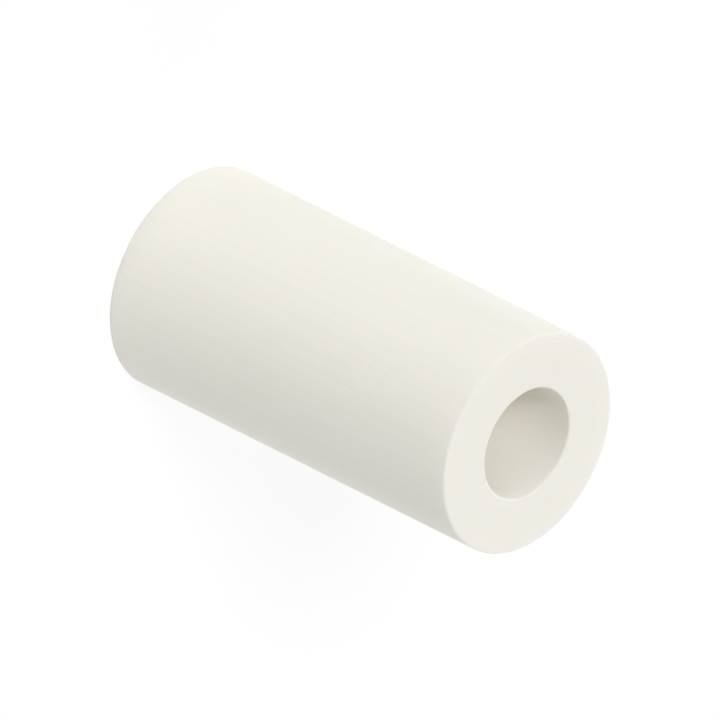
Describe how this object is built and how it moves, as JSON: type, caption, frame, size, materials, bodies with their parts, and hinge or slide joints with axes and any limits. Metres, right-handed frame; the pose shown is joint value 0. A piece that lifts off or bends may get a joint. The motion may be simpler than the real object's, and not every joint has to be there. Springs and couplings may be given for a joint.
{
  "type": "nylon spacer",
  "caption": "Plain round nylon spacer: a straight tube with square-cut ends that a screw passes through, holding two parts a set distance apart.",
  "frame": {"origin": "centre of the lower end face, on the bore's axis, where the spacer stands", "axes": "+Z along the bore, from the lower end face to the upper one; the part is round about Z, so +X and +Y are any two square directions"},
  "size_m": [0.0126, 0.0126, 0.0254],
  "materials": {
    "nylon": "satin"
  },
  "bodies": {
    "root": {"spacer": "nylon"}
  },
  "joints": []
}
